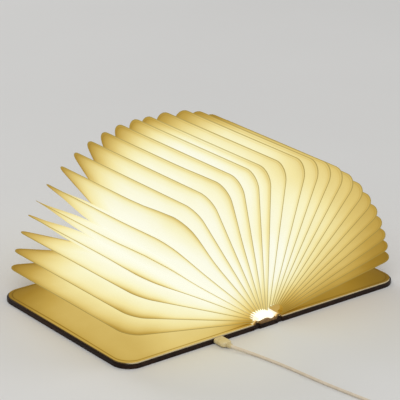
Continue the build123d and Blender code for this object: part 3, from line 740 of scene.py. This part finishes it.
def fold(name, sheets, end, node):
    """One fold of paper from one or two sheets that share a valley."""
    outers, inners, rims, crescents, unders, creases = [], [], [], [], [], []
    for index, (leaf, toward, gap_of) in enumerate(sheets):
        surface = sheet_surface(leaf, toward, gap_of)
        if index:
            # the two sheets meet in one shared row at the valley
            surface = [rows[:, ::-1][:, 1:] for rows in surface]
        for kept, rows in zip((outers, inners, rims, crescents), surface):
            kept.append(rows)
        unders.append(np.full(surface[2].shape, float(toward < 0)))
        # only an endpaper lies flat
        creases.append(np.full(surface[2].shape, float(leaf.tilt == 90.0)))
    outer, inner, rim, crescent, under, crease = (
        np.concatenate(rows, axis=1)
        for rows in (outers, inners, rims, crescents, unders, creases)
    )
    points = np.concatenate([outer, inner[:, ::-1]], axis=1)
    rim, crescent, under, crease = (
        np.concatenate([rows, rows[:, ::-1]], axis=1) for rows in (rim, crescent, under, crease)
    )
    inside = np.zeros(rim.shape, bool)
    inside[:, outer.shape[1]:] = True
    piece = add_tube(name, points, paper, {
        "glow": glow_of(points, inside, crescent).ravel(),
        "rim": rim.ravel() * MM,
        "under": under.ravel(),
        "crease": crease.ravel(),
        "warm_light": warm_light_of(points).ravel(),
    })
    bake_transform(piece)
    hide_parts(node)


def fold_between(name, near, far, halfway, half_turn, node):
    """Fold from the leaf near the spine to the far one, with its valley halfway."""
    to_valley, and_back = (
        partial(half_gap, offset=leaf.offset, middle=halfway.offset, half_turn=half_turn)
        for leaf in (near, far)
    )
    edge = halfway.place([LEAF_REACH, 0], 0)
    bend = halfway.normal * to_valley(BEND_REACH)
    fold(
        name, [(near, -1, to_valley), (far, 1, and_back)],
        edge - bend, node,
    )


def make_fan():
    """The folds of both halves, each from the spine out to its endpaper."""
    for side, half in ((-1, "front"), (1, "back")):
        gaps = FAN_GAPS[side]
        leaves = [numbered_leaf(side, number) for number in range(1, LEAVES_PER_SIDE + 1)]
        # the leaves are numbered across the book, from the front cover to the back one
        labels = [
            LEAVES_PER_SIDE + (number if side > 0 else 1 - number)
            for number in range(1, LEAVES_PER_SIDE + 1)
        ]
        # half a fold on the side of the spine, which ends on the middle plane
        to_middle = partial(
            half_gap, offset=leaves[0].offset, middle=HINGE_X, half_turn=gaps[0]
        )
        height = HINGE_Z + LEAF_REACH
        fold(
            f"fold_middle_{half}", [(leaves[0], 1, to_middle)],
            (side * to_middle(BEND_REACH), 0, height),
            f"page_leaf_{labels[0]:02d}",
        )
        for near, far, inner, outer, gap in zip(
            leaves, leaves[1:], labels, labels[1:], gaps[1:]
        ):
            half_turn = gap / 2
            halfway = Leaf(side, near.tilt + half_turn, near.offset - LEAF_PITCH / 2)
            fold_between(
                f"fold_{min(inner, outer):02d}", near, far, halfway, half_turn,
                f"page_leaf_{outer:02d}",
            )
        # the last leaf and the endpaper on the lining
        half_turn = gaps[-1] / 2
        lining = Leaf(side, 90.0, LINING_TOP - HINGE_Z, reach_offset=0.0)
        halfway = Leaf(side, 90.0 - half_turn, (leaves[-1].offset + STACK_BASE) / 2)
        endpaper = f"{half}_endpaper"
        fold_between(
            f"fold_{endpaper}", leaves[-1], lining, halfway, half_turn,
            endpaper,
        )


make_fan()


# ---- cloths at the spine -------------------------------------------------------------
CLOTH_ENDS = COVER_LENGTH / 2 - 1.0
INNER_CLOTH_T = 0.5
INNER_CLOTH_FOOT = 5.35
# the inner cloth stands up over an open hinge, because the book also folds right back
BULGE = [
    (9.8, 5.35), (11.2, 5.5), (12.1, 6.7), (13.2, 8.2), (14.4, 8.7), (15.7, 8.2),
    (16.9, 6.8), (17.8, 5.6), (19.0, 5.35),
]
# half the outline of the hinge cloth: thin in the grooves, a soft roll between the boards
HINGE_ROLL = [
    (8.1, 0.28), (10.5, 0.28), (12.3, 0.29), (12.34, 1.3), (12.5, 1.95), (13.2, 2.1),
    (14.1, 2.02), (15.0, 1.85), (15.9, 2.02), (16.8, 2.1), (17.5, 1.95), (17.66, 1.3),
    (17.7, 0.29), (20.5, 0.28), (25.3, 0.28),
]
# the cloth turned in at both ends of the spine: its crest, and how its height runs inwards
TURN_IN = [
    (-10.6, 6.4), (-8.6, 7.4), (-5.0, 8.0), (-1.4, 8.4), (2.2, 7.7), (5.0, 6.3), (7.4, 6.2),
    (9.4, 7.0), (10.6, 7.2),
]
TURN_IN_FOOT = BOARD_T + 0.02
TURN_IN_DEPTHS = (0.3, 0.5, 1.1, 2.4, 4.2, 4.9, 5.1)
TURN_IN_HEIGHTS = (0.55, 0.80, 0.96, 1.0, 0.97, 0.85, 0.6)
RIBBON_Y = -92.0
RIBBON_HALF = 2.5
RIBBON_ROOM = 0.7
RIBBON_T = 0.56


def smooth_line(stops, steps=4):
    """Catmull-Rom line through the stops."""
    stops = np.array(stops, float)
    stops = np.vstack([2 * stops[0] - stops[1], stops, 2 * stops[-1] - stops[-2]])
    line = []
    for i in range(1, len(stops) - 2):
        a, b, c, d = stops[i - 1:i + 3]
        for t in np.arange(steps) / steps:
            line.append(
                0.5 * (2 * b + (c - a) * t + (2 * a - 5 * b + 4 * c - d) * t**2
                       + (3 * b - a - 3 * c + d) * t**3)
            )
    line.append(stops[-2])
    return np.array(line)


def band(line, thick):
    """Closed ring of (x, z) points round a line, thick across."""
    along = np.gradient(line, axis=0)
    along /= np.linalg.norm(along, axis=1, keepdims=True)
    normal = np.stack([-along[:, 1], along[:, 0]], axis=1)
    return np.concatenate([line + normal * thick / 2, (line - normal * thick / 2)[::-1]])


def run_along_y(rings, ys):
    """Points of one ring of (x, z) points per place along Y."""
    return np.array([[(x, y, z) for x, z in ring] for ring, y in zip(rings, ys)])


def make_hinge(side, name, bulge):
    """Cloths of one hinge: the one let into the boards' grooves and the inner one."""
    top = np.array(HINGE_ROLL)
    ring = np.concatenate([top, top[::-1] * (1, -1)]) * (side, 1) + (0, HINGE_Z)
    spans = [(-CLOTH_ENDS, CLOTH_ENDS)]
    if side < 0:
        # a gap for the ribbon
        room = RIBBON_HALF + RIBBON_ROOM
        spans = [(-CLOTH_ENDS, RIBBON_Y - room), (RIBBON_Y + room, CLOTH_ENDS)]
    for number, span in enumerate(spans, 1):
        ys = np.linspace(*span, 12)
        points = run_along_y([ring] * len(ys), ys)
        strip = add_tube(f"{name}_hinge_cloth_strip_{number}", points, cloth)
        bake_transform(strip)
        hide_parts(f"{name}_hinge_cloth")
    # the inner cloth, a little uneven along its length
    ys = np.linspace(-CLOTH_ENDS, CLOTH_ENDS, 60)
    rings = []
    for y in ys:
        sway = 1 + 0.06 * sin(y * 0.21 + side) + 0.04 * sin(y * 0.53)
        line = smooth_line([
            (x, INNER_CLOTH_FOOT + (z - INNER_CLOTH_FOOT) * bulge * sway) for x, z in BULGE
        ])
        rings.append(band(line, INNER_CLOTH_T) * (side, 1))
    inner = add_tube(f"inner_cloth_{name}", run_along_y(rings, ys), lit_leather)
    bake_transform(inner)


def make_turn_ins():
    """The cloth turned in before both ends of the light bar."""
    top = smooth_line(TURN_IN)
    foot = np.stack([top[::-1, 0], np.full(len(top), TURN_IN_FOOT)], axis=1)
    rings = []
    for height in TURN_IN_HEIGHTS:
        crest = np.stack([top[:, 0], BOARD_T + (top[:, 1] - BOARD_T) * height], axis=1)
        rings.append(np.concatenate([crest, foot]))
    for end, name in ((-1, "tail_turn_in"), (1, "head_turn_in")):
        ys = [end * (COVER_LENGTH / 2 - depth) for depth in TURN_IN_DEPTHS]
        pad = add_tube(name, run_along_y(rings, ys), leather)
        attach(pad, "spine")


def make_ribbon():
    """Lead ribbon across the front hinge, bent up near the spine."""
    ys = np.linspace(RIBBON_Y - RIBBON_HALF, RIBBON_Y + RIBBON_HALF, 5)
    stops = [(x, HINGE_Z) for x in np.linspace(-56.5, -20.0, 6)]
    stops += [(x, HINGE_Z) for x in np.linspace(-18.0, -12.0, 9)]
    stops += [(-9.0, HINGE_Z), (-7.2, HINGE_Z), (-6.35, 2.85), (-6.0, 3.7), (-6.0, 6.3)]
    stops += [(-5.65, 7.15), (-4.8, 7.5), (-3.8, 7.5)]
    ring = band(np.array(stops), RIBBON_T)
    strip = add_tube(
        "ribbon_strip", run_along_y([ring] * len(ys), ys), slot_materials["ribbon"]
    )
    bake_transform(strip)
    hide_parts("lead_ribbon")


make_hinge(-1, "front", 0.8)
make_hinge(1, "back", 1.0)
make_turn_ins()
make_ribbon()


# ---- charging plug -------------------------------------------------------------------
PLUG_X = -66.7
PLUG_Z = 3.9
PLUG_FACE = -COVER_LENGTH / 2 - 0.25
# depth, width and height of its rings, with a waist for the fingers
PLUG_RINGS = (
    (0.0, 11.2, 4.6), (0.35, 11.9, 5.2), (1.0, 12.2, 5.5), (4.0, 12.2, 5.5),
    (4.4, 11.8, 5.1), (5.1, 11.8, 5.1), (5.5, 12.2, 5.5), (9.0, 12.1, 5.5),
    (12.0, 11.8, 5.4), (13.4, 11.0, 5.2), (14.3, 9.6, 4.9), (14.9, 7.6, 4.5),
    (15.0, 5.2, 4.1),
)
RELIEF_START = PLUG_FACE - 14.8
RELIEF_LENGTH = 5.4
RELIEF_RIBS = 3
PLUG_AROUND = 32


def rounded_ring(centre, y, width, height, power=4.0):
    """Squircle of points about the plug's axis."""
    points = []
    for k in range(PLUG_AROUND):
        turn = 2 * pi * k / PLUG_AROUND
        u, v = cos(turn), sin(turn)
        size = (abs(u) ** power + abs(v) ** power) ** (-1 / power)
        points.append((centre[0] + width / 2 * u * size, y, centre[1] + height / 2 * v * size))
    return points


def make_plug():
    """Moulded body, and a ribbed relief that tapers down to the cable."""
    body = add_tube("plug_moulding", [
        rounded_ring((PLUG_X, PLUG_Z), PLUG_FACE - depth, width, height)
        for depth, width, height in PLUG_RINGS
    ], plug_skin)
    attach(body, "front_cover")
    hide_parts("plug_body")
    rings = []
    for rib in range(RELIEF_RIBS):
        for share, groove in ((0.0, 1.6), (0.10, 0.0), (0.50, 0.0), (0.60, 1.6), (0.99, 1.6)):
            along = (rib + share) / RELIEF_RIBS
            size = 5.9 - 1.5 * along - groove
            centre = (PLUG_X + 0.4 * along, PLUG_Z - 0.15 * along)
            y = RELIEF_START - RELIEF_LENGTH * along
            rings.append(rounded_ring(centre, y, size, size * 0.92, 2.4))
    relief = add_tube("plug_relief", rings, plug_skin, sharp=25.0)
    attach(relief, "front_cover")


make_plug()


# ---- charging cable ------------------------------------------------------------------
CORD_POINTS = [
    (-66.3, -126.6, 3.8),
    (-65.5, -131.5, 3.7),
    (-62.0, -139.5, 3.1),
    (-57.6, -149.0, 1.8),
    (-53.6, -165.0, 1.5),
    (-48.2, -196.0, 1.5),
    (-44.4, -232.0, 1.5),
    (-38.0, -270.0, 1.5),
    (-31.6, -303.0, 1.5),
    (-24.6, -324.0, 2.4),
    (-21.8, -339.0, 2.4),
]
TAIL_POINTS = [(12.0, 0.0, 5.9), (24.0, 3.4, 4.3), (36.0, 5.2, 3.9), (46.0, 5.6, 3.9)]
COIL_RADIUS = 22.5
COIL_PITCH = 3.5
COIL_TURNS_IN = 3
# points in half a turn
COIL_STEPS = 8


def cord_route():
    """Control points of the whole cable: to the coil, round its turns and to the plug."""
    end = Vector(CORD_POINTS[-1])
    heading = (end - Vector(CORD_POINTS[-2])).normalized()
    start = end + heading * CORD_D

    def spot(forward, sideways, height):
        """Point by its place before and beside the end of the plain run."""
        return (
            start.x + heading.x * forward + heading.y * sideways,
            start.y + heading.y * forward - heading.x * sideways,
            height,
        )

    low = end.z
    high = low + COIL_PITCH
    near = [COIL_RADIUS - COIL_PITCH * turn for turn in range(COIL_TURNS_IN + 1)]
    far = [COIL_PITCH * (turn + 0.5) - COIL_RADIUS for turn in range(COIL_TURNS_IN + 1)]
    stops = []
    for turn in range(COIL_TURNS_IN):
        stops += [(near[turn], low), (far[turn], low)]
    stops.append((near[COIL_TURNS_IN], low))
    for turn in range(COIL_TURNS_IN, 0, -1):
        stops += [(far[turn], high), (near[turn - 1], high)]
    points = list(CORD_POINTS)
    onward = 1
    for (a, height_a), (b, height_b) in zip(stops, stops[1:]):
        # the spline cuts inside its control points, which stand out for that
        wide = abs(a - b) / 2 / cos(pi / (2 * COIL_STEPS)) ** 0.5
        for step in range(COIL_STEPS):
            turn = pi * (step + 0.5) / COIL_STEPS
            sideways = COIL_RADIUS - (a + b) / 2 - onward * wide * cos(turn)
            height = height_a + (height_b - height_a) * (1 - cos(turn)) / 2
            points.append(spot(onward * wide * sin(turn), sideways, height))
        onward = -onward
    points.append(spot(CORD_D, 0.0, high))
    points += [spot(*point) for point in TAIL_POINTS]
    return points


def make_cord():
    """The cable as one NURBS curve through the route's control points."""
    curve = bpy.data.curves.new("charging_cord", "CURVE")
    curve.dimensions = "3D"
    curve.bevel_depth = CORD_D / 2 * MM
    curve.bevel_resolution = 5
    curve.resolution_u = 8
    curve.use_fill_caps = True
    points = cord_route()
    spline = curve.splines.new("NURBS")
    spline.points.add(len(points) - 1)
    for point, (x, y, z) in zip(spline.points, points):
        point.co = (x * MM, y * MM, z * MM, 1.0)
    spline.order_u = 3
    spline.use_endpoint_u = True
    curve.materials.append(cable_skin)
    cord = bpy.data.objects.new("charging_cord", curve)
    bpy.context.scene.collection.objects.link(cord)
    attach(cord, "front_cover")
    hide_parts("usb_cord", "cord_coil", "cord_tail")


make_cord()
